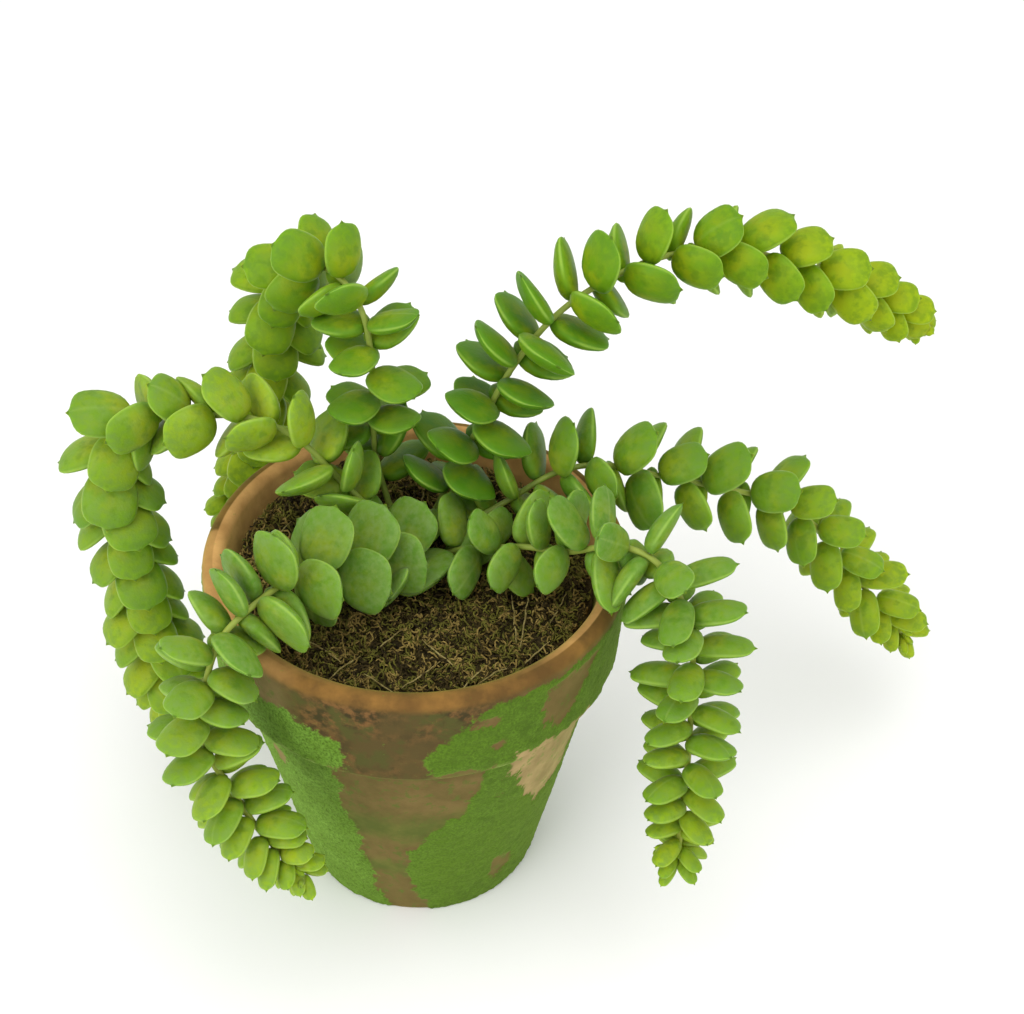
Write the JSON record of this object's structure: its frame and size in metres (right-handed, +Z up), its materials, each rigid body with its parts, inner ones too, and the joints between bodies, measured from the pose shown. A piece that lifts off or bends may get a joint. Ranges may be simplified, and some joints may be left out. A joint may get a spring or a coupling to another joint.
{
  "type": "potted burro's tail plant",
  "caption": "Trailing burro's tail succulent: leafy stems rise from moss in a small clay pot, arch over its rim and hang down around it.",
  "frame": {"origin": "middle of the ground that the pot and its stems cover together, on the surface that the pot stands on", "axes": "+Z up; +X to the right of a viewer in front of the plant; +Y away from that viewer"},
  "size_m": [0.226, 0.1252, 0.1704],
  "materials": {
    "clay": "unglazed orange-brown terracotta with a patchy green moss coat outside",
    "potting_mix": "dark damp peat and bark",
    "dried_moss": "tangled olive-brown dried moss",
    "leaf": "waxy green succulent leaf, bluish near the root and yellow-green at the tips"
  },
  "bodies": {
    "root": {"pot": "clay", "potting_mix": "potting_mix", "moss_topping": "dried_moss", "stem_front_left": "leaf", "stem_front_right": "leaf", "stem_left": "leaf", "stem_right": "leaf", "stem_back_right": "leaf", "stem_back_left": "leaf"}
  },
  "joints": []
}
